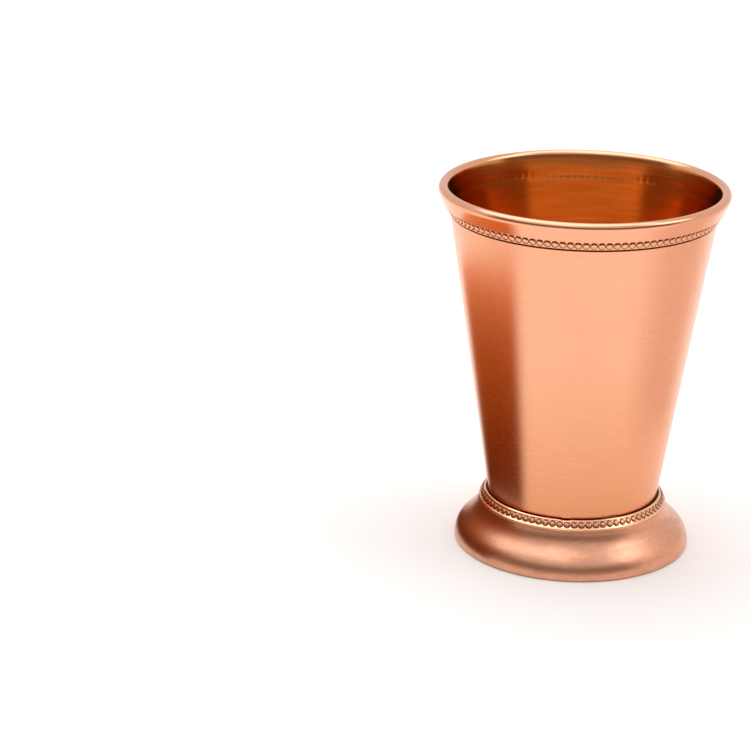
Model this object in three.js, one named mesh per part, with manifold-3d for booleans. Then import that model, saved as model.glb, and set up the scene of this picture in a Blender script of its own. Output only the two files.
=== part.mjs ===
// A spun metal cup on a flared foot, with a bead border under its turned-down rim and a beaded collar
// round the foot's neck. Millimetres, +Z up, the foot's edge rests on z = 0 and the axis is Z.
import * as THREE from "three";
import { mergeGeometries, mergeVertices } from "three/addons/utils/BufferGeometryUtils.js";
import Module from "manifold-3d";

// Whole cup
const HEIGHT = 106.8; // table to the top of the rim
const RIM_RADIUS = 41.25; // widest part of the rim
const FOOT_RADIUS = 34.1; // edge of the foot on the table
const SHEET = 0.9; // thickness of the spun sheet

// Body: heel and wall
const HEEL_RADIUS = 24.3; // outside of the wall, drawn down to the underside
const HEEL_BEND = 0.9; // inside radius of the heel
const RIM_OVERHANG = 3.6; // how far the rim stands out from the top of the wall

// Bead border under the rim
const BORDER_DROP = 8.3; // top of the rim to the foot of the border
const BORDER_HEIGHT = 2.7;
const BORDER_STEP = 0.35; // how far the border stands out from the wall
const BORDER_RAMP = 0.4; // height over which it steps out

// Rim: flared neck, turn over the top and open lip
const NECK_LEAN = 12; // degrees from upright where the neck meets the turn
const TURN_BEND = 0.55; // inside radius of the turn
const LIP_LEAN = 21; // degrees from upright of the lip, inwards as it goes down
const LIP_LENGTH = 3.7; // straight part of the lip

// Foot: edge, skirt, seat of the collar and socket of the heel
const EDGE_HEIGHT = 1.2; // upright part of the edge
const SKIRT_LOWER_LEAN = 4; // degrees from upright just above the edge
const SKIRT_LOWER_PULL = 5.6; // how far the lower curve holds that lean
const SKIRT_UPPER_LEAN = 9; // degrees from upright under the seat
const SKIRT_UPPER_PULL = 5.6; // how far the upper curve holds that lean
const SEAT_HEIGHT = 12.7; // table to the flat seat
const SEAT_WIDTH = 1.2;
const SEAT_BEND = 0.4; // outside radius of the seat's edge
const SOCKET_DEPTH = 2; // how deep the heel sits in the neck
const SOCKET_GAP = 0.6; // between the wall and the neck, at the top of the neck

// Collar: strip with two lips, whose ends meet
const COLLAR_HEIGHT = 2.8;
const COLLAR_GAP = 0.15; // between the neck and the strip
const COLLAR_FLOOR = 0.55; // thickness of the strip behind the beads
const UPPER_LIP = 0.15; // how far the upper lip stands out from that floor
const LOWER_LIP = 0.6; // the same for the lower lip
const LIP_WIDTH = 0.4; // height of each lip
const BREAK_WIDTH = 2.4; // break in the upper lip where the ends meet
const BREAK_AT = -3; // degrees from the front, to the right

// Beads of both borders
const BEAD_PITCH = 2.11;
const BEAD_GAP = 0.22; // between two beads
const BEAD_OUT = 0.45; // how far a bead stands out from its band
const BEAD_ROOT = 0.2; // how far its flat back lies under the band's face

// Bond between the heel and the foot's neck
const BOND_GAP = 0.1; // to the metal on each side
const BOND_FROM = 55; // degrees below level where it starts on the heel

// Facets round the axis
const PLAIN_FACETS = 48; // of a piece without beads
const BEADS_PER_FACET = 2; // of a piece with beads
const BEAD_FACETS = 6; // of one bead

const wasm = await Module();
wasm.setup();
const rad = THREE.MathUtils.degToRad;
const at = (r, z) => new THREE.Vector2(r, z);

// Direction that leans outwards by some degrees from straight up, with a length.
function leaning(degrees, length) {
  return at(Math.sin(rad(degrees)), Math.cos(rad(degrees))).multiplyScalar(length);
}

// Points of an arc, angles in degrees from level outwards.
function arc(centre, width, height, from, to, steps) {
  const curve = new THREE.EllipseCurve(centre.x, centre.y, width, height, rad(from), rad(to), to < from);
  return curve.getPoints(steps);
}

// Points of a curve that leaves start along one direction and reaches end along another.
function sweep(start, out, end, into, steps) {
  const curve = new THREE.CubicBezierCurve(start, start.clone().add(out), end.clone().sub(into), end);
  return curve.getPoints(steps);
}

// The line shifted to the left of its direction by a distance, with mitred corners.
function shifted(line, distance) {
  const normals = [];
  for (let i = 1; i < line.length; i++) {
    const along = line[i].clone().sub(line[i - 1]).normalize();
    normals.push(at(-along.y, along.x));
  }
  return line.map((point, i) => {
    const before = normals[Math.max(i - 1, 0)];
    const after = normals[Math.min(i, normals.length - 1)];
    const mitre = before.clone().add(after);
    mitre.multiplyScalar(distance / mitre.dot(after));
    return point.clone().add(mitre);
  });
}

// Section of a sheet, from the line of its outer face, where curves that meet share one point.
function sheetSection(line) {
  const face = line.filter((point, i) => i === 0 || point.distanceTo(line[i - 1]) > 1e-4);
  return [...face, ...shifted(face, SHEET).reverse()];
}

// A section turned round the Z axis, with its first facet edge at the front.
function turned(section, facets = PLAIN_FACETS) {
  return new THREE.LatheGeometry(section, facets).rotateX(Math.PI / 2);
}

// A section that doesn't reach the axis, closed on itself and turned.
function turnedRing(section, facets = PLAIN_FACETS) {
  return turned([...section, section[0].clone()], facets);
}

// Number of beads that fit round a band, and of facets behind them.
function beadCount(band) {
  return Math.round((2 * Math.PI * band.x) / BEAD_PITCH);
}

function beadFacets(band) {
  return Math.round(beadCount(band) / BEADS_PER_FACET);
}

// A ring of separate domes between the facet edges of a band, tilted down by some degrees.
function beadRing(band, tilt) {
  const back = at(0, -BEAD_ROOT);
  const swell = arc(back, (BEAD_PITCH - BEAD_GAP) / 2, BEAD_ROOT + BEAD_OUT, 0, 90, 2);
  const bead = new THREE.LatheGeometry([back, ...swell], BEAD_FACETS);
  bead.rotateZ(-Math.PI / 2).rotateY(rad(tilt)).translate(band.x, 0, band.y);
  const count = beadCount(band);
  const copies = [];
  for (let i = 0; i < count; i++) {
    copies.push(bead.clone().rotateZ((2 * Math.PI * (i + 0.5)) / count - Math.PI / 2));
  }
  return mergeGeometries(copies);
}

// Geometry to solid and back.
function toSolid(geometry) {
  const bare = geometry.clone();
  bare.deleteAttribute("normal");
  bare.deleteAttribute("uv");
  const merged = mergeVertices(bare, 1e-4);
  return new wasm.Manifold(
    new wasm.Mesh({
      numProp: 3,
      vertProperties: merged.attributes.position.array,
      triVerts: new Uint32Array(merged.index.array),
    }),
  );
}

function toGeometry(solid) {
  const mesh = solid.getMesh();
  const geometry = new THREE.BufferGeometry();
  geometry.setAttribute("position", new THREE.BufferAttribute(mesh.vertProperties, 3));
  geometry.setIndex(new THREE.BufferAttribute(mesh.triVerts, 1));
  geometry.computeVertexNormals();
  return geometry;
}

// Places shared by the pieces that fit each other
const neckTop = SEAT_HEIGHT + COLLAR_HEIGHT;
const underside = neckTop - SOCKET_DEPTH;
const borderFoot = at(RIM_RADIUS - RIM_OVERHANG, HEIGHT - BORDER_DROP);
const wallSlope = (borderFoot.x - HEEL_RADIUS) / (borderFoot.y - underside);
const wallLean = THREE.MathUtils.radToDeg(Math.atan(wallSlope));
const wallAt = (z) => at(HEEL_RADIUS + (z - underside) * wallSlope, z);
const neckInside = wallAt(neckTop).x + SOCKET_GAP;
const neckOutside = neckInside + SHEET;

// Outer face of the heel, or a line some way outside it.
function heelArc(away, from, steps) {
  const bend = HEEL_BEND + SHEET;
  const centre = wallAt(underside + bend).sub(at(bend / Math.cos(rad(wallLean)), 0));
  return arc(centre, bend + away, bend + away, -from, -wallLean, steps);
}

function bodyGeometry() {
  const bandFoot = wallAt(borderFoot.y + BORDER_RAMP).add(at(BORDER_STEP, 0));
  const bandTop = wallAt(borderFoot.y + BORDER_HEIGHT).add(at(BORDER_STEP, 0));
  const turnCentre = at(RIM_RADIUS - SHEET - TURN_BEND, HEIGHT - SHEET - TURN_BEND);
  const turn = arc(turnCentre, TURN_BEND, TURN_BEND, 180 - NECK_LEAN, -LIP_LEAN, 5);
  const pull = bandTop.distanceTo(turn[0]) / 3;
  const neck = sweep(bandTop, leaning(wallLean, pull), turn[0], leaning(NECK_LEAN, pull), 3);
  const lipEnd = turn.at(-1).clone().sub(leaning(LIP_LEAN, LIP_LENGTH));
  const face = [at(0, underside), ...heelArc(0, 90, 3), borderFoot, bandFoot, ...neck, ...turn, lipEnd];
  const band = bandFoot.clone().lerp(bandTop, 0.5);
  const shell = turned(sheetSection(face), beadFacets(band));
  return toGeometry(toSolid(shell).add(toSolid(beadRing(band, wallLean))));
}

function footGeometry() {
  const seatEdge = at(neckOutside + SEAT_WIDTH - SEAT_BEND, SEAT_HEIGHT - SEAT_BEND);
  const bend = arc(seatEdge, SEAT_BEND, SEAT_BEND, SKIRT_UPPER_LEAN, 90, 2);
  const rise = leaning(-SKIRT_LOWER_LEAN, SKIRT_LOWER_PULL);
  const reach = leaning(-SKIRT_UPPER_LEAN, SKIRT_UPPER_PULL);
  const skirt = sweep(at(FOOT_RADIUS, EDGE_HEIGHT), rise, bend[0], reach, 7);
  const neck = [at(neckOutside, SEAT_HEIGHT), at(neckOutside, neckTop)];
  return turnedRing(sheetSection([at(FOOT_RADIUS, 0), ...skirt, ...bend, ...neck]));
}

function collarGeometry() {
  const inner = neckOutside + COLLAR_GAP;
  const floor = inner + COLLAR_FLOOR;
  const low = SEAT_HEIGHT + LIP_WIDTH;
  const high = neckTop - LIP_WIDTH;
  const section = [
    at(inner, SEAT_HEIGHT),
    at(floor + LOWER_LIP * 0.7, SEAT_HEIGHT),
    at(floor + LOWER_LIP, (SEAT_HEIGHT + low) / 2),
    at(floor, low),
    at(floor, high),
    at(floor + UPPER_LIP, (neckTop + high) / 2),
    at(floor, neckTop),
    at(inner, neckTop),
  ];
  const band = at(floor, (low + high) / 2);
  const strip = turnedRing(section, beadFacets(band));
  const cut = new THREE.BoxGeometry(BREAK_WIDTH, COLLAR_FLOOR + UPPER_LIP, LIP_WIDTH);
  cut.translate(0, -(floor + UPPER_LIP), neckTop - LIP_WIDTH / 4).rotateZ(rad(BREAK_AT));
  return toGeometry(toSolid(strip).add(toSolid(beadRing(band, 0))).subtract(toSolid(cut)));
}

function bondGeometry() {
  const heel = heelArc(BOND_GAP, BOND_FROM, 2);
  const outer = neckInside - BOND_GAP;
  return turnedRing([at(outer, heel[0].y), at(outer, heel.at(-1).y), ...heel.reverse()]);
}

const copper = { color: "#df9f78", metalness: 1 };
const spun = new THREE.MeshStandardMaterial({ ...copper, roughness: 0.32 });
const rolled = new THREE.MeshStandardMaterial({ ...copper, roughness: 0.38 });
const compound = new THREE.MeshStandardMaterial({ color: "#8a6a52", roughness: 0.7, metalness: 0 });

function piece(name, geometry, material) {
  const mesh = new THREE.Mesh(geometry, material);
  mesh.name = name;
  return mesh;
}

const cup = new THREE.Group();
cup.name = "beaded_cup";
cup.add(
  piece("cup_body", bodyGeometry(), spun),
  piece("foot", footGeometry(), spun),
  piece("bead_collar", collarGeometry(), rolled),
  piece("seam_bond", bondGeometry(), compound),
);

export default cup;
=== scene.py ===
"""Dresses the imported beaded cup: spun body, flared foot, beaded collar and bonded seam, in a pale studio."""

import logging
import math
from dataclasses import dataclass
from enum import Enum
from typing import Any

import bmesh
import bpy
from bmesh.types import BMesh, BMVert
from mathutils import Matrix, Vector
from mathutils.geometry import interpolate_bezier


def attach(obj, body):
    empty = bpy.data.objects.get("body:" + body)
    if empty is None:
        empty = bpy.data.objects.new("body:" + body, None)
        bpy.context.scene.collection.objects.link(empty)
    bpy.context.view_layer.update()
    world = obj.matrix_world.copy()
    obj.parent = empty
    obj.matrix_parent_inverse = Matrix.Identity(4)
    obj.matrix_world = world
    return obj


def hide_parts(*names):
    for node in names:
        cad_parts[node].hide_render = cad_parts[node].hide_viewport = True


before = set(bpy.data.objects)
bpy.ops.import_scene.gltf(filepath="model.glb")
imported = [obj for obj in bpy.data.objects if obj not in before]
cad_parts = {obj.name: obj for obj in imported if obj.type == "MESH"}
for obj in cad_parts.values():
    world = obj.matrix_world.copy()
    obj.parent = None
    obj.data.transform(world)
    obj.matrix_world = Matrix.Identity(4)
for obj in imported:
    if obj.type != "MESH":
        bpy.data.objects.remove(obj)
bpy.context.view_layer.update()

MM = 0.001
LOG = logging.getLogger("beaded_cup")
Point = tuple[float, float]  # radius and height in a section, or the offset between two such points


class Slot(Enum):
    """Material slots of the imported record."""

    SHEET = "spun_sheet"
    STRIP = "beaded_strip"
    BOND = "bonding_compound"


def colour(code: str) -> tuple[float, float, float, float]:
    """Turns an sRGB hex colour into linear values.

    Args:
        code: Six hex digits with a leading hash sign.

    Returns:
        Linear red, green, blue and an alpha of one.
    """
    parts = [int(code[i : i + 2], 16) / 255 for i in (1, 3, 5)]
    linear = [c / 12.92 if c <= 0.04045 else ((c + 0.055) / 1.055) ** 2.4 for c in parts]
    return (linear[0], linear[1], linear[2], 1.0)


def add_node(
    tree: bpy.types.NodeTree, kind: str, inputs: dict[Any, Any] | None = None, **settings: Any
) -> Any:
    """Adds a node with its settings, its socket values and its links.

    Args:
        tree: Node tree that gets the node.
        kind: Blender's name of the node type.
        inputs: Socket name or number to a value, or to the output socket it is linked from.
        **settings: Attributes of the node itself.

    Returns:
        The new node.
    """
    node = tree.nodes.new(kind)
    for key, value in settings.items():
        setattr(node, key, value)
    for key, value in (inputs or {}).items():
        if isinstance(value, bpy.types.NodeSocket):
            tree.links.new(value, node.inputs[key])
        else:
            node.inputs[key].default_value = value
    return node


def new_material(name: str) -> tuple[bpy.types.Material, bpy.types.NodeTree]:
    """Makes an empty node material.

    Args:
        name: Name of the material.

    Returns:
        The material and its node tree.
    """
    material = bpy.data.materials.new(name)
    material.use_nodes = True
    material.node_tree.nodes.clear()
    return material, material.node_tree


def calculate(tree: bpy.types.NodeTree, operation: str, first: Any, second: Any) -> bpy.types.NodeSocket:
    """Adds a calculation with two values.

    Args:
        tree: Node tree that gets the node.
        operation: Blender's name of the operation.
        first: First value, or the output socket it comes from.
        second: Second value, or the output socket it comes from.

    Returns:
        Output socket of the result.
    """
    return add_node(tree, "ShaderNodeMath", {0: first, 1: second}, operation=operation).outputs[0]


def map_range(
    tree: bpy.types.NodeTree,
    value: bpy.types.NodeSocket,
    before: tuple[float, float],
    after: tuple[float, float],
    **settings: Any,
) -> bpy.types.NodeSocket:
    """Maps one range of values to another.

    Args:
        tree: Node tree that gets the node.
        value: Output socket of the value.
        before: Ends of the range that the value is in.
        after: Ends of the range that it is mapped to.
        **settings: Attributes of the node itself.

    Returns:
        Output socket of the mapped value.
    """
    inputs = {0: value, 1: before[0], 2: before[1], 3: after[0], 4: after[1]}
    return add_node(tree, "ShaderNodeMapRange", inputs, **settings).outputs[0]


def grain_noise(tree: bpy.types.NodeTree, grain_mm: float, detail: float) -> bpy.types.NodeSocket:
    """Adds noise that is fixed to the piece.

    Args:
        tree: Node tree that gets the noise.
        grain_mm: Size of its coarsest grains.
        detail: Number of finer layers in it.

    Returns:
        Output socket with values between 0 and 1.
    """
    place = add_node(tree, "ShaderNodeTexCoord").outputs["Object"]
    inputs = {"Vector": place, "Scale": 1 / (grain_mm * MM), "Detail": detail}
    return add_node(tree, "ShaderNodeTexNoise", inputs).outputs["Fac"]


def mix_tones(
    tree: bpy.types.NodeTree, share: bpy.types.NodeSocket, tone: str, other: str
) -> bpy.types.NodeSocket:
    """Mixes two tones.

    Args:
        tree: Node tree that gets the node.
        share: Output socket with the share of the other tone.
        tone: sRGB hex colour at a share of 0.
        other: sRGB hex colour at a share of 1.

    Returns:
        Output socket of the mixed colour.
    """
    inputs = {0: share, 6: colour(tone), 7: colour(other)}
    return add_node(tree, "ShaderNodeMix", inputs, data_type="RGBA").outputs[2]


@dataclass(frozen=True)
class SpunCopper:
    """Aluminium sheet plated copper colour, spun and then brushed while it turned.

    The brush leaves fine lines round the axis, so reflections smear along the height of the wall and
    stay fairly crisp round it, and the tone changes a little from line to line.
    """

    name: str
    tone: str = "#f8b28e"
    deep_tone: str = "#eda173"
    roughness: float = 0.27
    anisotropy: float = 0.6
    smear_turn: float = 0.25  # of a full turn, from along the lines to across them
    line_mm: float = 0.45  # real lines are nearer 0.1 mm, drawn this coarse so that they show
    line_reach: float = 1.6  # how often a line fades out in one radian
    line_depth_mm: float = 0.012
    line_shade: float = 0.25  # how far a line moves towards the deep tone
    line_bump: float = 0.04
    painted_foot_shade: float = 0.0  # painted shade: how far the tone moves towards the deep one low on the wall
    foot_reach_mm: tuple[float, float] = (15.0, 65.0)
    smudge_mm: float = 18.0
    wear: float = 0.03  # how far lines and smudges move the roughness

    def material(self) -> bpy.types.Material:
        """Builds the brushed metal.

        Returns:
            The finished material.
        """
        material, tree = new_material(self.name)
        place = add_node(tree, "ShaderNodeTexCoord").outputs["Object"]
        split = add_node(tree, "ShaderNodeSeparateXYZ", {0: place})
        level = add_node(tree, "ShaderNodeVectorMath", {0: place, 1: (1, 1, 0)}, operation="MULTIPLY")
        radius = add_node(tree, "ShaderNodeVectorMath", {0: level.outputs[0]}, operation="LENGTH")
        heading = add_node(tree, "ShaderNodeVectorMath", {0: level.outputs[0]}, operation="NORMALIZE")
        round_axis = add_node(
            tree, "ShaderNodeVectorMath", {0: heading.outputs[0], "Scale": self.line_reach}, operation="SCALE"
        )
        turn = add_node(tree, "ShaderNodeSeparateXYZ", {0: round_axis.outputs[0]})
        per_line = 1 / (self.line_mm * MM)
        out = calculate(tree, "MULTIPLY", radius.outputs["Value"], per_line)
        up = calculate(tree, "MULTIPLY", split.outputs["Z"], per_line)
        spin = add_node(tree, "ShaderNodeCombineXYZ", {0: out, 1: turn.outputs["X"], 2: turn.outputs["Y"]})
        lines = add_node(
            tree,
            "ShaderNodeTexNoise",
            {"Vector": spin.outputs[0], "W": up, "Scale": 1.0, "Detail": 2.5, "Roughness": 0.6},
            noise_dimensions="4D",
        ).outputs["Fac"]
        shade = map_range(tree, lines, before=(0.3, 0.75), after=(0.0, self.line_shade))
        low, high = (z * MM for z in self.foot_reach_mm)
        # painted shade: the tone deepens low on the wall
        foot = map_range(tree, split.outputs["Z"], before=(low, high), after=(self.painted_foot_shade, 0.0))
        tint = mix_tones(tree, calculate(tree, "ADD", shade, foot), self.tone, self.deep_tone)
        worn = calculate(tree, "ADD", lines, grain_noise(tree, self.smudge_mm, detail=2.0))
        smooth, dull = self.roughness - self.wear, self.roughness + self.wear
        rough = map_range(tree, worn, before=(0.6, 1.4), after=(smooth, dull))
        bump = add_node(
            tree,
            "ShaderNodeBump",
            {"Strength": self.line_bump, "Distance": self.line_depth_mm * MM, "Height": lines},
        )
        grain = add_node(tree, "ShaderNodeTangent", direction_type="RADIAL", axis="Z")
        metal = add_node(
            tree,
            "ShaderNodeBsdfPrincipled",
            {
                "Base Color": tint,
                "Metallic": 1.0,
                "Roughness": rough,
                "Anisotropic": self.anisotropy,
                "Anisotropic Rotation": self.smear_turn,
                "Normal": bump.outputs[0],
                "Tangent": grain.outputs[0],
            },
        )
        add_node(tree, "ShaderNodeOutputMaterial", {"Surface": metal.outputs[0]})
        return material


@dataclass(frozen=True)
class RolledCopper:
    """The same plated aluminium where a roller pressed it.

    It is smoother than the brushed sheet and has no lines, and its tone changes a little from grain to
    grain. A brown, dull copy of it paints the shade in corners and crevices.
    """

    name: str
    tone: str = "#f6b48c"
    deep_tone: str = "#df9566"
    roughness: float = 0.24
    grit_mm: float = 0.5
    grit_shade: float = 0.5  # how far a grain moves towards the deep tone
    wear: tuple[float, float] = (-0.05, 0.07)  # how far the grains move the roughness down and up

    def material(self) -> bpy.types.Material:
        """Builds the rolled metal.

        Returns:
            The finished material.
        """
        material, tree = new_material(self.name)
        grit = grain_noise(tree, self.grit_mm, detail=2.0)
        shade = map_range(tree, grit, before=(0.4, 0.8), after=(0.0, self.grit_shade))
        tint = mix_tones(tree, shade, self.tone, self.deep_tone)
        smooth, dull = (self.roughness + step for step in self.wear)
        rough = map_range(tree, grit, before=(0.0, 1.0), after=(smooth, dull))
        metal = add_node(
            tree, "ShaderNodeBsdfPrincipled", {"Base Color": tint, "Metallic": 1.0, "Roughness": rough}
        )
        add_node(tree, "ShaderNodeOutputMaterial", {"Surface": metal.outputs[0]})
        return material


@dataclass(frozen=True)
class CuredCompound:
    """Brown bonding compound, pressed into the seam and cured: matte and slightly uneven."""

    name: str
    tone: str = "#8f4d20"
    dark_tone: str = "#552a12"
    lump_mm: float = 1.2
    lump_depth_mm: float = 0.15
    lump_bump: float = 0.5
    roughness: float = 0.6

    def material(self) -> bpy.types.Material:
        """Builds the compound.

        Returns:
            The finished material.
        """
        material, tree = new_material(self.name)
        lumps = grain_noise(tree, self.lump_mm, detail=3.0)
        tint = mix_tones(tree, lumps, self.dark_tone, self.tone)
        bump = add_node(
            tree,
            "ShaderNodeBump",
            {"Strength": self.lump_bump, "Distance": self.lump_depth_mm * MM, "Height": lumps},
        )
        body = add_node(
            tree,
            "ShaderNodeBsdfPrincipled",
            {"Base Color": tint, "Roughness": self.roughness, "IOR": 1.5, "Normal": bump.outputs[0]},
        )
        add_node(tree, "ShaderNodeOutputMaterial", {"Surface": body.outputs[0]})
        return material


@dataclass(frozen=True)
class StudioPaint:
    """Plain matte paint or paper of the studio."""

    name: str
    tone: str

    def material(self) -> bpy.types.Material:
        """Builds the paint.

        Returns:
            The finished material.
        """
        material, tree = new_material(self.name)
        paint = add_node(tree, "ShaderNodeBsdfDiffuse", {"Color": colour(self.tone)})
        add_node(tree, "ShaderNodeOutputMaterial", {"Surface": paint.outputs[0]})
        return material


@dataclass(frozen=True)
class FadedPaint:
    """Matte paint of a curved card, which changes tone upwards and fades out towards both ends."""

    name: str
    tones: tuple[str, ...]  # from the floor up
    height: float  # metres up to the last tone
    reach: tuple[float, float]  # degrees from the front to the right
    fade: float  # degrees

    def material(self) -> bpy.types.Material:
        """Builds the paint.

        Returns:
            The finished material.
        """
        material, tree = new_material(self.name)
        place = add_node(tree, "ShaderNodeTexCoord").outputs["Object"]
        split = add_node(tree, "ShaderNodeSeparateXYZ", {0: place})
        rise = calculate(tree, "DIVIDE", split.outputs["Z"], self.height)
        tint = add_node(tree, "ShaderNodeValToRGB", {0: rise})
        stops = tint.color_ramp.elements
        for index, tone in enumerate(self.tones):
            share = index / (len(self.tones) - 1)
            stop = stops[index] if index < 2 else stops.new(share)
            stop.position = share
            stop.color = colour(tone)
        ahead = calculate(tree, "MULTIPLY", split.outputs["Y"], -1.0)
        heading = calculate(tree, "ARCTAN2", split.outputs["X"], ahead)
        start, end = (math.radians(side) for side in self.reach)
        width = math.radians(self.fade)
        ends = [
            map_range(tree, heading, before, after=(0.0, 1.0), interpolation_type="SMOOTHSTEP")
            for before in ((start, start + width), (end, end - width))
        ]
        shown = calculate(tree, "MULTIPLY", *ends)
        paint = add_node(tree, "ShaderNodeBsdfDiffuse", {"Color": tint.outputs[0]})
        clear = add_node(tree, "ShaderNodeBsdfTransparent")
        mixed = add_node(
            tree, "ShaderNodeMixShader", {0: shown, 1: clear.outputs[0], 2: paint.outputs[0]}
        )
        add_node(tree, "ShaderNodeOutputMaterial", {"Surface": mixed.outputs[0]})
        return material


class SectionPen:
    """Draws the section of a turned piece in a bmesh, in millimetres of radius and height."""

    def __init__(self, mesh: BMesh, r: float, z: float) -> None:
        """Sets the pen down.

        Args:
            mesh: Mesh that gets the section.
            r: Radius of the first point.
            z: Height of the first point.
        """
        self.mesh = mesh
        self.first = mesh.verts.new((r * MM, 0.0, z * MM))
        self.tip = self.first

    def line(self, *points: Point) -> None:
        """Draws straight lines through points of radius and height.

        Args:
            *points: Radius and height of each next point.
        """
        for r, z in points:
            made = bmesh.ops.extrude_vert_indiv(self.mesh, verts=[self.tip])
            self.tip = made["verts"][0]
            self.tip.co = Vector((r * MM, 0.0, z * MM))

    def arc(self, r: float, z: float, degrees: float, steps: int) -> None:
        """Draws an arc about a centre.

        Args:
            r: Radius of the centre.
            z: Height of the centre.
            degrees: Turn from upwards to outwards if positive.
            steps: Number of straight steps.
        """
        made = bmesh.ops.spin(
            self.mesh,
            geom=[self.tip],
            cent=(r * MM, 0.0, z * MM),
            axis=(0.0, 1.0, 0.0),
            angle=math.radians(degrees),
            steps=steps,
        )
        self.tip = next(v for v in made["geom_last"] if isinstance(v, BMVert))

    def sweep(self, out: Point, back: Point, end: Point, steps: int) -> None:
        """Draws a curve to an end point.

        Args:
            out: Handle at the pen, relative to it.
            back: Handle at the end, relative to the end.
            end: Radius and height of the end.
            steps: Number of straight steps.
        """
        start = Vector((self.tip.co.x / MM, self.tip.co.z / MM))
        finish = Vector(end)
        points = interpolate_bezier(start, start + Vector(out), finish + Vector(back), finish, steps + 1)
        self.line(*[(p.x, p.y) for p in points[1:]])

    def close(self) -> None:
        """Joins the pen's last point to its first."""
        self.mesh.edges.new((self.tip, self.first))


def leaning(degrees: float, length: float) -> Point:
    """Gives an offset in radius and height that leans outwards from straight up.

    Args:
        degrees: Lean from upright.
        length: Length of the offset.

    Returns:
        Offset in radius and in height.
    """
    return (length * math.sin(math.radians(degrees)), length * math.cos(math.radians(degrees)))


def shift(point: Point, offset: Point, times: float = 1.0) -> Point:
    """Moves a point of a section.

    Args:
        point: Radius and height.
        offset: Offset in radius and height.
        times: Factor on the offset.

    Returns:
        The moved point.
    """
    return (point[0] + times * offset[0], point[1] + times * offset[1])


def turn_section(mesh: BMesh, columns: int) -> None:
    """Spins the drawn section once round the Z axis into a closed skin facing outwards.

    Args:
        mesh: Mesh that holds the section and nothing else.
        columns: Steps round the axis.
    """
    bmesh.ops.spin(
        mesh,
        geom=[*mesh.verts, *mesh.edges],
        cent=(0.0, 0.0, 0.0),
        axis=(0.0, 0.0, 1.0),
        angle=math.tau,
        steps=columns,
        use_merge=True,
    )
    bmesh.ops.remove_doubles(mesh, verts=mesh.verts, dist=1e-6)
    bmesh.ops.recalc_face_normals(mesh, faces=mesh.faces)


@dataclass(frozen=True)
class Beads:
    """A ring of rolled beads, in millimetres."""

    count: int
    across: float
    out: float
    root: float = 0.02  # how far a bead's flat back lies under the band
    squat: float = 1.0  # height of a bead to its width
    swell: tuple[Point, ...] = ((0.42, 0.95), (0.62, 0.76), (0.77, 0.25))  # shares of radius and of out
    outline: float = 0.8  # share of the radius from which painted shade shows all round
    upper_outline: float = 0.6  # the same on the upper side, where the painted shade reaches further in
    upper_side: float = 0.25  # share of the radius over the middle where that side starts
    sharp: float = 60.0  # degrees between faces that stay a sharp edge
    steps: int = 12

    def add(self, mesh: BMesh, radius: float, height: float, tilt: float) -> None:
        """Fills an empty mesh with the ring of domes, whose edges get the second finish.

        Each dome runs out into a flatter ring. The ring and, on its upper side, the steep edge of the dome
        as well get painted shade, so the rings of neighbours cross as thin dark lines.

        Args:
            mesh: Empty mesh that gets the beads.
            radius: Radius of the band they stand on.
            height: Height of their centres.
            tilt: Degrees that they face downwards.
        """
        reach = self.across / 2
        pen = SectionPen(mesh, 0.0, self.out)
        pen.line(*[(reach * across, self.out * rise) for across, rise in self.swell])
        pen.line((reach, -self.root), (0.0, -self.root))
        turn_section(mesh, self.steps)
        # painted shade on each bead's edge, reaching further in on its upper side
        for face in mesh.faces:
            middle = face.calc_center_median() / MM
            share = middle.xy.length / reach
            upper = share > self.upper_outline and middle.x < -self.upper_side * reach
            face.material_index = int(share > self.outline or upper)
        facing = Matrix.Rotation(math.radians(90 + tilt), 4, "Y")
        seat = Matrix.Translation((radius * MM, 0.0, height * MM))
        first = Matrix.Rotation(math.tau * 0.5 / self.count - math.pi / 2, 4, "Z")
        shape = Matrix.Diagonal((self.squat, 1.0, 1.0, 1.0))
        bmesh.ops.transform(mesh, matrix=first @ seat @ facing @ shape, verts=mesh.verts)
        bmesh.ops.spin(
            mesh,
            geom=[*mesh.verts, *mesh.edges, *mesh.faces],
            cent=(0.0, 0.0, 0.0),
            axis=(0.0, 0.0, 1.0),
            angle=math.tau * (self.count - 1) / self.count,
            steps=self.count - 1,
            use_duplicate=True,
        )


def place_piece(mesh: BMesh, name: str, sharp: float = 35.0) -> bpy.types.Object:
    """Turns a bmesh into an object at the origin, shaded smooth apart from its sharp edges.

    Args:
        mesh: Finished bmesh, freed here.
        name: Name of the piece.
        sharp: Angle between faces, in degrees, that stays sharp.

    Returns:
        The new object.
    """
    data = bpy.data.meshes.new(name)
    mesh.to_mesh(data)
    mesh.free()
    data.shade_smooth()
    data.set_sharp_from_angle(angle=math.radians(sharp))
    piece = bpy.data.objects.new(name, data)
    bpy.context.scene.collection.objects.link(piece)
    return piece


def fit_piece(piece: bpy.types.Object, finishes: list[bpy.types.Material], node: str) -> None:
    """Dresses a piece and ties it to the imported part.

    Args:
        piece: The piece.
        finishes: Its finishes, in the order of its faces' material numbers.
        node: CAD node that it stands for.
    """
    for finish in finishes:
        piece.data.materials.append(finish)
    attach(piece, "root")
    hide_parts(node)
    LOG.info("%s: %d faces, %s", piece.name, len(piece.data.polygons), ", ".join(f.name for f in finishes))


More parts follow.
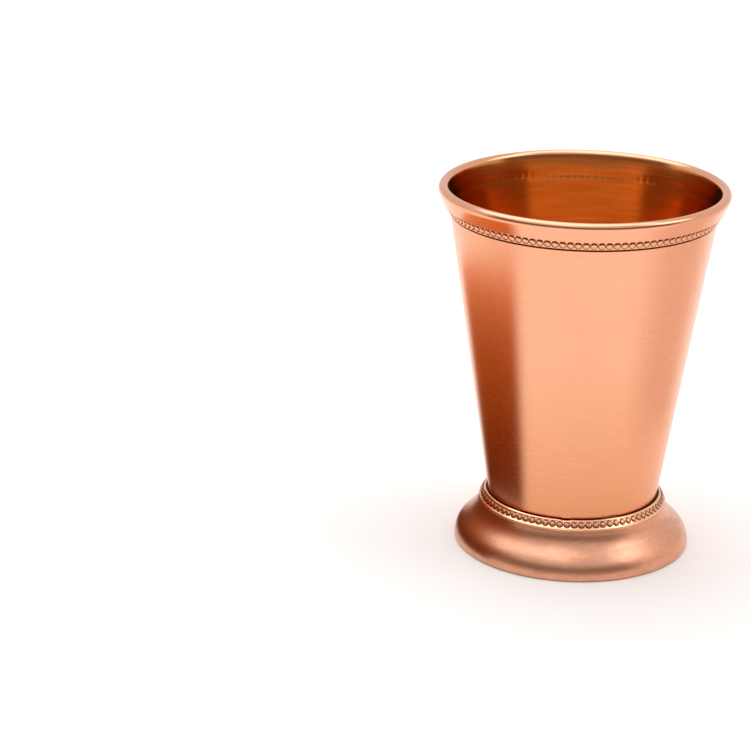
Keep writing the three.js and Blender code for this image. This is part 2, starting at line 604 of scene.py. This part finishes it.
@dataclass(frozen=True)
class CupBody:
    """Spun tumbler with a bead border and a turned-down rim, in millimetres."""

    height: float = 106.8
    rim_radius: float = 41.17  # just inside the facets of the solid
    sheet: float = 0.9
    underside: float = 13.5
    heel_radius: float = 24.3
    heel_bend: float = 0.9
    ring_pitch: int = 2  # of the turning rings under the bottom
    ring_depth: float = 0.05
    seam_shade: tuple[float, float] = (1.55, 2.15)  # painted shade on the wall above the seam, from the underside
    border_foot: Point = (37.65, 98.5)
    border_height: float = 2.7
    border_step: float = 0.35
    border_ramp: float = 0.4
    border_hold: float = 0.6  # a row of points this far below it keeps the long wall's shading straight
    bead_rows: int = 6  # steps of the mesh up the band
    groove: float = 0.25  # depth of the groove under the band
    groove_reach: float = 0.25
    groove_shade: tuple[float, float] = (-0.2, 0.3)  # painted shade in the groove, from the band's foot
    neck_lean: float = 12.0
    turn_bend: float = 0.55
    lip_lean: float = 21.0
    lip_length: float = 3.7
    lip_rows: tuple[float, ...] = (0.06, 0.92, 1.0)  # shares of that length
    polish: float = 1.2  # how far the rim's polish reaches in and down
    inside_low: float = 2.4  # underside to the lower end of the straight inside
    inside_hold: float = 0.01  # share of the inside at each end that keeps its shading straight
    neck_hold: float = 1.0  # a row of points this far above the band does the same
    inside_from: float = -0.3  # a face whose normal points out less than this is inside wall
    dimple: float = 0.05
    columns_per_bead: int = 4
    beads: Beads = Beads(count=114, across=2.16, out=0.38)

    @property
    def slope(self) -> float:
        """Outward step of the wall for each millimetre of height."""
        return (self.border_foot[0] - self.heel_radius) / (self.border_foot[1] - self.underside)

    @property
    def lean(self) -> float:
        """Lean of the wall from upright, in degrees."""
        return math.degrees(math.atan(self.slope))

    @property
    def heel(self) -> Point:
        """Centre of the heel's bend."""
        bend = self.heel_bend + self.sheet
        return shift(self.wall(self.underside + bend), (-bend / math.cos(math.radians(self.lean)), 0.0))

    @property
    def turn(self) -> Point:
        """Centre of the rim's turn."""
        inset = self.sheet + self.turn_bend
        return (self.rim_radius - inset, self.height - inset)

    @property
    def turn_sweep(self) -> float:
        """Degrees of the turn from the neck to the lip."""
        return 180 - self.neck_lean + self.lip_lean

    @property
    def rows(self) -> list[float]:
        """Rows of points up the bead band, as shares of its height."""
        return [i / self.bead_rows for i in range(self.bead_rows + 1)]

    def wall(self, z: float) -> Point:
        """Gives the point of the wall's outer face at a height."""
        return (self.heel_radius + (z - self.underside) * self.slope, z)

    def band(self, share: float) -> Point:
        """Gives a point of the bead band.

        Args:
            share: Share of the band's height, from its foot at 0 to its top at 1.

        Returns:
            Radius and height.
        """
        low = self.border_foot[1] + self.border_ramp
        z = low + share * (self.border_height - self.border_ramp)
        return shift(self.wall(z), (self.border_step, 0.0))

    def draw_outside(self, pen: SectionPen) -> None:
        """Draws the underside, the heel, the wall, the groove and the bead band.

        Args:
            pen: Pen that stands on the axis at the underside.
        """
        for r in range(self.ring_pitch, int(self.heel[0]), self.ring_pitch):
            pen.line((r, self.underside + self.ring_depth), (r + self.ring_pitch / 2, self.underside))
        pen.line((self.heel[0], self.underside))
        pen.arc(*self.heel, self.lean - 90, steps=8)
        foot = self.border_foot[1]
        heights = (self.underside + self.seam_shade[1], foot - self.border_hold, foot - self.groove_reach)
        pen.line(*[self.wall(z) for z in heights])
        pen.line(shift(self.wall(foot), (-self.groove, 0.0)))
        pen.line(*[self.band(share) for share in self.rows])

    def draw_rim(self, pen: SectionPen) -> None:
        """Draws the neck, the turn and the open lip, down one side of it and up the other.

        Args:
            pen: Pen that stands at the top of the bead band.
        """
        top = self.band(1.0)
        start = shift(self.turn, leaning(self.neck_lean - 90, self.turn_bend))
        pull = math.dist(top, start) / 3
        pen.sweep(leaning(self.lean, pull), leaning(self.neck_lean + 180, pull), start, steps=8)
        pen.arc(*self.turn, self.turn_sweep, steps=12)
        end = shift(self.turn, leaning(self.lip_lean + 90, self.turn_bend))
        edge = shift(end, leaning(self.lip_lean + 180, self.lip_length))
        outer = shift(edge, leaning(self.lip_lean + 90, self.sheet))
        upward = leaning(self.lip_lean, self.lip_length)
        pen.line(edge, outer, *[shift(outer, upward, share) for share in self.lip_rows])
        pen.arc(*self.turn, self.neck_lean - self.lean - self.turn_sweep, steps=20)

    def draw_inside(self, pen: SectionPen) -> None:
        """Draws the straight inside, with rows of points for the dimples, and the inside floor.

        Args:
            pen: Pen that stands inside the mouth.
        """
        low = shift(self.wall(self.underside + self.inside_low), leaning(self.lean - 90, self.sheet))
        mouth = shift(self.turn, leaning(self.lean - 90, self.turn_bend + self.sheet))
        rise = (mouth[0] - low[0], mouth[1] - low[1])
        heights = [self.band(share)[1] for share in reversed(self.rows)]
        heights = [heights[0] + self.neck_hold, *heights, self.border_foot[1] - self.border_hold]
        pen.line(shift(low, rise, 1 - self.inside_hold))
        pen.line(*[shift(low, rise, (z - low[1]) / rise[1]) for z in heights])
        pen.line(shift(low, rise, self.inside_hold), low)
        pen.line(shift(self.heel, leaning(90 + self.lean, self.heel_bend)))
        pen.arc(*self.heel, 90 - self.lean, steps=6)
        pen.line((0.0, self.underside + self.sheet))

    def press_dimples(self, mesh: BMesh) -> None:
        """Sinks a shallow dimple behind each bead on the inside of the wall.

        Args:
            mesh: The turned body.
        """
        low, high = self.band(0.0), self.band(1.0)
        middle = (low[1] + high[1]) / 2
        reach = (high[1] - low[1]) / 2
        for vert in mesh.verts:
            z = vert.co.z / MM
            flat = Vector((vert.co.x, vert.co.y))
            if abs(z - middle) > reach or flat.length / MM > self.wall(z)[0]:
                continue
            angle = (math.atan2(vert.co.y, vert.co.x) + math.pi / 2) / math.tau * self.beads.count
            beside = abs((angle % 1.0) - 0.5) * 2
            press = max(0.0, 1 - beside**2) * max(0.0, 1 - ((z - middle) / reach) ** 2)
            out = flat.normalized() * press * self.dimple * MM
            vert.co.x += out.x
            vert.co.y += out.y

    def mark_finishes(self, mesh: BMesh) -> None:
        """Gives the inside wall the second finish, painted shade in the groove and above the seam the third,
        and the turned rim the fourth.

        Args:
            mesh: The turned body.
        """
        for face in mesh.faces:
            middle = face.calc_center_median() / MM
            over_groove = middle.z - self.border_foot[1]
            over_bottom = middle.z - self.underside
            looks_in = face.normal.xy.dot(middle.xy.normalized()) < self.inside_from
            in_groove = self.groove_shade[0] < over_groove < self.groove_shade[1]
            in_seam = self.seam_shade[0] < over_bottom < self.seam_shade[1]
            if middle.z > self.height - self.polish or middle.xy.length > self.rim_radius - self.polish:
                face.material_index = 3
            elif looks_in:
                face.material_index = 1
            # painted shade in the groove and on the wall above the seam
            elif in_groove or in_seam:
                face.material_index = 2

    def build(
        self,
        sheet: bpy.types.Material,
        inside: bpy.types.Material,
        rolled: bpy.types.Material,
        crevice_shade: bpy.types.Material,
        rim: bpy.types.Material,
    ) -> None:
        """Builds and dresses the shell and its bead border.

        Args:
            sheet: Finish of the spun sheet.
            inside: Finish of the inside wall, which is smoother, in a deeper golden tone that paints the shade
                inside the cup.
            rolled: Finish of the beads.
            crevice_shade: Painted shade on the edges of the beads, in the groove and along the seam.
            rim: Finish of the turned rim, which is polished.
        """
        mesh = bmesh.new()
        pen = SectionPen(mesh, 0.0, self.underside)
        self.draw_outside(pen)
        self.draw_rim(pen)
        self.draw_inside(pen)
        turn_section(mesh, self.beads.count * self.columns_per_bead)
        self.press_dimples(mesh)
        self.mark_finishes(mesh)
        fit_piece(place_piece(mesh, "body_shell"), [sheet, inside, crevice_shade, rim], "cup_body")
        mesh = bmesh.new()
        self.beads.add(mesh, *self.band(0.5), self.lean)
        beads = place_piece(mesh, "rim_beads", self.beads.sharp)
        fit_piece(beads, [rolled, crevice_shade], "cup_body")


@dataclass(frozen=True)
class Foot:
    """Spun flared foot with a seat for the collar and a plain neck, in millimetres."""

    radius: float = 34.1
    sheet: float = 0.9
    edge_height: float = 1.2
    edge_bend: float = 0.65
    lower_lean: float = 4.0  # of the skirt's curve at its edge, in degrees from upright
    lower_pull: float = 5.6
    upper_lean: float = 9.0  # of the skirt's curve at the seat, in degrees from upright
    upper_pull: float = 5.6
    curve_steps: int = 24
    seat_height: float = 12.7
    seat_width: float = 1.2
    seat_bend: float = 0.4
    neck_radius: float = 26.11
    neck_top: float = 13.6
    neck_edge: float = 0.2  # radius of the neck's upper edges
    under_bend: float = 0.3  # radius between the neck and the underside of the seat
    shoulder_in: float = 0.2  # bevel between that underside and the skirt's inner curve
    shoulder_drop: float = 0.9
    inner_drop: float = 0.1  # how much lower the skirt's curve ends inside
    columns: int = 240

    def build(self, sheet: bpy.types.Material) -> None:
        """Builds and dresses the foot.

        Args:
            sheet: Finish of the spun sheet.
        """
        mesh = bmesh.new()
        edge, bend, corner, under_bend = self.edge_bend, self.seat_bend, self.neck_edge, self.under_bend
        seat = (self.neck_radius + self.seat_width - bend, self.seat_height - bend)
        bend_end = shift(seat, leaning(90 - self.upper_lean, bend))
        rise = leaning(-self.lower_lean, self.lower_pull)
        reach = leaning(180 - self.upper_lean, self.upper_pull)
        pen = SectionPen(mesh, self.radius - self.sheet, 0.0)
        pen.line((self.radius - edge, 0.0))
        pen.arc(self.radius - edge, edge, -90, steps=4)
        pen.line((self.radius, self.edge_height))
        pen.sweep(rise, reach, bend_end, self.curve_steps)
        pen.arc(*seat, self.upper_lean - 90, steps=4)
        pen.line((self.neck_radius, self.seat_height), (self.neck_radius, self.neck_top - corner))
        pen.arc(self.neck_radius - corner, self.neck_top - corner, -90, steps=3)
        inner = self.neck_radius - self.sheet
        under = self.seat_height - self.sheet
        pen.line((inner + corner, self.neck_top))
        pen.arc(inner + corner, self.neck_top - corner, -90, steps=3)
        pen.line((inner, under + under_bend))
        pen.arc(inner + under_bend, under + under_bend, -90, steps=3)
        shoulder = shift(bend_end, leaning(90 - self.upper_lean, -self.sheet))
        pen.line((shoulder[0] - self.shoulder_in, under), (shoulder[0], shoulder[1] - self.shoulder_drop))
        inner_edge = (self.radius - self.sheet, self.edge_height - self.inner_drop)
        pen.sweep(reach, rise, inner_edge, self.curve_steps)
        pen.close()
        turn_section(mesh, self.columns)
        fit_piece(place_piece(mesh, "foot_skirt"), [sheet], "foot")


@dataclass(frozen=True)
class BeadCollar:
    """Beaded strip with two lips, leaning in over the foot's neck, in millimetres."""

    low: Point = (27.3, 12.82)
    high: Point = (25.4, 15.4)
    lower_lip: float = 0.7
    upper_lip: float = 0.65
    crown: float = 0.08  # of a lip over the line between the strip's edges
    sunk: float = 0.06  # of the bead band under that line
    skew: float = 0.6  # puts the crest of a lip near its lower edge
    lip_rows: tuple[float, ...] = (0.0, 0.12, 0.3, 0.5, 0.7, 0.88, 1.0)  # shares of a lip's width
    thickness: float = 0.5
    break_width: float = 2.4
    break_depth: float = 0.2
    break_at: float = -3.0  # degrees from the front to the right
    break_reach: float = 0.95  # share of the upper lip's width that the break takes
    back_slack: float = 0.05  # keeps the strip's back out of the break
    columns_per_bead: int = 4
    beads: Beads = Beads(count=80, across=2.1, out=0.24, squat=0.95, outline=0.6)

    @property
    def width(self) -> float:
        """Width of the strip."""
        return math.dist(self.low, self.high)

    @property
    def facing(self) -> float:
        """Degrees that the strip faces upwards."""
        return math.degrees(math.atan2(self.low[0] - self.high[0], self.high[1] - self.low[1]))

    def at(self, along: float, out: float = 0.0) -> Point:
        """Gives a point of the strip.

        Args:
            along: Distance up the strip from its lower edge.
            out: Height over the line between its edges.

        Returns:
            Radius and height.
        """
        return shift(shift(self.low, leaning(-self.facing, along)), leaning(90 - self.facing, out))

    def open_break(self, mesh: BMesh) -> None:
        """Opens the upper lip where the ends of the strip meet.

        Args:
            mesh: The turned strip.
        """
        lip_low = self.at(self.width - self.upper_lip * self.break_reach)
        for vert in mesh.verts:
            angle = math.atan2(vert.co.x, -vert.co.y) - math.radians(self.break_at)
            radius = math.hypot(vert.co.x, vert.co.y)
            on_lip = vert.co.z > lip_low[1] * MM and radius > (self.high[0] - self.back_slack) * MM
            if on_lip and abs(angle) * radius < self.break_width / 2 * MM:
                vert.co.z -= self.break_depth * MM

    def build(self, lips: bpy.types.Material, rolled: bpy.types.Material, crevice_shade: bpy.types.Material) -> None:
        """Builds and dresses the strip and its beads.

        Args:
            lips: Finish of the strip and its lips, polished by handling, in a lighter tone that paints their
                highlight.
            rolled: Finish of the beads.
            crevice_shade: Painted shade on the beads' edges.
        """
        mesh = bmesh.new()
        top = self.width - self.upper_lip
        pen = SectionPen(mesh, *self.at(0.0, -self.thickness))
        for start, lip in ((0.0, self.lower_lip), (top, self.upper_lip)):
            for share in self.lip_rows:
                rise = (self.crown + self.sunk) * math.sin(math.pi * share**self.skew) - self.sunk
                pen.line(self.at(start + share * lip, rise))
        pen.line(self.at(self.width, -self.thickness))
        pen.close()
        turn_section(mesh, self.beads.count * self.columns_per_bead)
        self.open_break(mesh)
        fit_piece(place_piece(mesh, "collar_strip"), [lips], "bead_collar")
        mesh = bmesh.new()
        middle = self.at((self.lower_lip + top) / 2, -self.sunk)
        self.beads.add(mesh, *middle, -self.facing)
        beads = place_piece(mesh, "collar_beads", self.beads.sharp)
        fit_piece(beads, [rolled, crevice_shade], "bead_collar")


@dataclass(frozen=True)
class SeamBond:
    """Ring of cured compound between the heel and the foot's neck, in millimetres."""

    outer: float = 25.1
    low: float = 13.75
    high: float = 14.45
    inner_low: float = 23.9
    inner_high: float = 24.55
    inner_rest: Point = (24.43, 14.35)  # where it leaves the heel
    bevel: Point = (0.2, 0.1)
    sag: float = 0.05  # of its top towards the body
    squeeze_at: float = 26.0  # degrees from the front to the right
    squeeze_wide: float = 6.2
    squeeze_high: float = 1.1
    squeeze_rise: float = 1.0  # from the top of the ring to its middle
    squeeze_bow: float = 0.25  # how much higher its ends lie
    squeeze_ragged: float = 0.25  # share by which its height changes along it
    squeeze_thick: float = 0.1
    squeeze_sunk: float = 0.02
    columns: int = 160

    def squeeze_out(self, compound: bpy.types.Material) -> None:
        """Adds the bit of compound that was squeezed out of the seam onto the wall.

        Args:
            compound: Finish of the bonding compound.
        """
        mesh = bmesh.new()
        made = bmesh.ops.create_uvsphere(mesh, u_segments=24, v_segments=12, radius=1.0)
        wall = CupBody()
        for vert in made["verts"]:
            along, out, up = vert.co
            ragged = 1 + self.squeeze_ragged * math.sin(5 * along) * math.cos(3 * along)
            middle = self.high + self.squeeze_rise + self.squeeze_bow * along * along
            z = middle + up * self.squeeze_high / 2 * ragged
            radius = wall.wall(z)[0] - self.squeeze_sunk - out * self.squeeze_thick
            angle = math.radians(self.squeeze_at) + along * self.squeeze_wide / 2 / radius
            vert.co = Vector((radius * math.sin(angle), -radius * math.cos(angle), z)) * MM
        bmesh.ops.recalc_face_normals(mesh, faces=mesh.faces)
        fit_piece(place_piece(mesh, "seam_squeeze"), [compound], "seam_bond")

    def build(self, compound: bpy.types.Material, smeared: bpy.types.Material) -> None:
        """Builds and dresses the ring.

        Args:
            compound: Finish of the bonding compound.
            smeared: Finish of the compound outside the seam.
        """
        mesh = bmesh.new()
        pen = SectionPen(mesh, self.inner_low, self.low)
        pen.line((self.outer, self.low), (self.outer, self.high - self.bevel[1]))
        pen.line((self.outer - self.bevel[0], self.high), (self.inner_high, self.high - self.sag))
        pen.line(self.inner_rest)
        pen.close()
        turn_section(mesh, self.columns)
        fit_piece(place_piece(mesh, "seam_ring"), [compound], "seam_bond")
        self.squeeze_out(smeared)


@dataclass(frozen=True)
class Softbox:
    """Square lamp aimed at the cup, in metres and watts."""

    name: str
    where: tuple[float, float, float]
    size: float
    power: float
    aim: tuple[float, float, float] = (0.0, 0.0, 0.05)

    def build(self) -> None:
        """Hangs the lamp."""
        lamp = bpy.data.lights.new(self.name, "AREA")
        lamp.shape = "SQUARE"
        lamp.size = self.size
        lamp.energy = self.power
        held = bpy.data.objects.new(self.name, lamp)
        held.location = self.where
        held.rotation_mode = "QUATERNION"
        held.rotation_quaternion = (Vector(self.aim) - held.location).to_track_quat("-Z", "Y")
        bpy.context.scene.collection.objects.link(held)


@dataclass(frozen=True)
class Card:
    """Curved card round the cup, in metres and degrees, which only the metal's reflections see."""

    name: str
    tones: tuple[str, ...]  # from its lower to its upper edge
    low: Point
    high: Point
    reach: tuple[float, float]  # where it starts and ends, from the front to the right
    fade: float  # over which each end fades out
    steps: int = 24

    def build(self) -> None:
        """Stands the card on the stage."""
        start, end = self.reach
        mesh = bmesh.new()
        foot = mesh.verts.new((self.low[0], 0.0, self.low[1]))
        made = bmesh.ops.extrude_vert_indiv(mesh, verts=[foot])
        made["verts"][0].co = Vector((self.high[0], 0.0, self.high[1]))
        bmesh.ops.rotate(mesh, matrix=Matrix.Rotation(math.radians(start - 90), 3, "Z"), verts=mesh.verts)
        bmesh.ops.spin(
            mesh,
            geom=[*mesh.verts, *mesh.edges],
            cent=(0.0, 0.0, 0.0),
            axis=(0.0, 0.0, 1.0),
            angle=math.radians(end - start),
            steps=self.steps,
        )
        paint = FadedPaint(self.name + "_paint", self.tones, self.high[1], self.reach, self.fade)
        card = place_piece(mesh, self.name)
        card.data.materials.append(paint.material())
        card.visible_camera = False
        card.visible_diffuse = False
        card.visible_shadow = False


@dataclass(frozen=True)
class Studio:
    """Pale floor, soft light and the brown and pale cards that the metal reflects, in metres."""

    floor_size: float = 12.0
    floor_drop: float = 0.05 * MM  # keeps the floor clear of the foot's flat edge
    sky: float = 0.76  # strength of the even light from all round
    softboxes: tuple[Softbox, ...] = (
        Softbox("overhead_softbox", (-0.2, 0.2, 1.3), size=1.5, power=9.5),
        Softbox("right_softbox", (1.0, -0.1, 1.05), size=0.7, power=2.3),
    )
    cards: tuple[Card, ...] = (
        Card(
            "front_room",
            tones=("#837263", "#837263"),
            low=(1.3, 0.0),
            high=(1.3, 0.95),
            reach=(-85.0, 85.0),
            fade=15.0,
        ),
        Card(
            "left_room",
            tones=("#764014", "#8c4f1b", "#a86424", "#bd773e", "#f6ac6a"),
            low=(0.043, 0.0),
            high=(0.085, 0.06),
            reach=(-130.0, -44.0),
            fade=14.0,
        ),
        Card(
            "right_room",
            tones=("#f2ebe6", "#f2ebe6"),
            low=(0.09, 0.0),
            high=(0.13, 0.1),
            reach=(40.0, 140.0),
            fade=40.0,
        ),
    )

    def lay_floor(self) -> None:
        """Lays the floor."""
        mesh = bmesh.new()
        bmesh.ops.create_grid(mesh, x_segments=1, y_segments=1, size=self.floor_size / 2)
        bmesh.ops.translate(mesh, vec=(0.0, 0.0, -self.floor_drop), verts=mesh.verts)
        ground = place_piece(mesh, "studio_floor")
        ground.data.materials.append(StudioPaint("matte_white_paper", "#fbfaf9").material())

    def build(self) -> None:
        """Builds the studio."""
        world = bpy.data.worlds.new("soft_room")
        world.use_nodes = True
        world.node_tree.nodes.clear()
        room = add_node(
            world.node_tree, "ShaderNodeBackground", {"Color": colour("#ffffff"), "Strength": self.sky}
        )
        add_node(world.node_tree, "ShaderNodeOutputWorld", {"Surface": room.outputs[0]})
        bpy.context.scene.world = world
        self.lay_floor()
        for item in (*self.softboxes, *self.cards):
            item.build()


@dataclass(frozen=True)
class PhotoCamera:
    """Camera at the photograph's viewing angle, in metres and radians."""

    where: tuple[float, float, float] = (0.0, -0.706496, 0.295611)
    yaw: float = -0.0825
    pitch: float = 0.3366
    roll: float = 0.0148
    lens: float = 124.11  # millimetres, as the sensor's width
    sensor: float = 36.0

    def build(self) -> None:
        """Makes the camera and hands it to the scene."""
        ahead = Vector(
            (
                math.sin(self.yaw) * math.cos(self.pitch),
                math.cos(self.yaw) * math.cos(self.pitch),
                -math.sin(self.pitch),
            )
        )
        level = Vector((math.cos(self.yaw), -math.sin(self.yaw), 0.0))
        above = level.cross(ahead)
        right = math.cos(self.roll) * level + math.sin(self.roll) * above
        up = -math.sin(self.roll) * level + math.cos(self.roll) * above
        data = bpy.data.cameras.new("photo_camera")
        data.sensor_width = self.sensor
        data.lens = self.lens
        camera = bpy.data.objects.new("photo_camera", data)
        facing = Matrix((right, up, -ahead)).transposed().to_4x4()
        camera.matrix_world = Matrix.Translation(self.where) @ facing
        bpy.context.scene.collection.objects.link(camera)
        bpy.context.scene.camera = camera


def main() -> None:
    """Builds the cup piece by piece, then the studio and the camera."""
    logging.basicConfig(level=logging.INFO, format="%(message)s")
    # the sheet's tone is painted darker low on the wall
    sheet = SpunCopper("spun_copper_aluminium", tone="#f9b490", painted_foot_shade=0.8).material()
    skirt = SpunCopper(
        "spun_copper_skirt",
        tone="#eaae91",
        deep_tone="#da9a77",
        roughness=0.32,
        anisotropy=0.2,
        line_mm=0.8,
        line_reach=12.0,
        line_shade=0.9,
        line_bump=0.5,
    ).material()
    # The inside's deeper golden tone is painted shade; its lower roughness is its smoother finish.
    inside = SpunCopper(
        "spun_copper_inside_painted_shade",
        tone="#f3a964",
        deep_tone="#d6873f",
        roughness=0.15,
        anisotropy=0.3,
        line_mm=0.9,
        line_reach=2.5,
        line_shade=0.9,
        line_bump=0.35,
    ).material()
    rim = SpunCopper("polished_copper_rim", roughness=0.15, anisotropy=0.2).material()
    # The lips' lighter tone is a painted highlight; their low roughness is their polish.
    lips = SpunCopper(
        "polished_copper_lips_painted_highlight", tone="#ffcba8", deep_tone="#fabb94", roughness=0.13, anisotropy=0.0
    ).material()
    rolled = RolledCopper("rolled_copper_aluminium").material()
    strip = RolledCopper("rolled_copper_strip", tone="#e4a482", deep_tone="#c98a60").material()
    # Painted shade: a brown, dull copy of the rolled metal for the beads' edges, the groove and the seam.
    crevice_shade = RolledCopper(
        "painted_crevice_shade_copper", tone="#8f4c22", deep_tone="#57280c", roughness=0.4, grit_mm=0.8
    ).material()
    compound = CuredCompound("cured_bonding_compound").material()
    smeared = CuredCompound("smeared_bonding_compound", tone="#a86c46", dark_tone="#5f3016").material()
    CupBody().build(sheet, inside, rolled, crevice_shade, rim)
    Foot().build(skirt)
    BeadCollar().build(lips, strip, crevice_shade)
    SeamBond().build(compound, smeared)
    Studio().build()
    PhotoCamera().build()
    bpy.context.scene.view_settings.view_transform = "Standard"


if __name__ == "__main__":
    main()
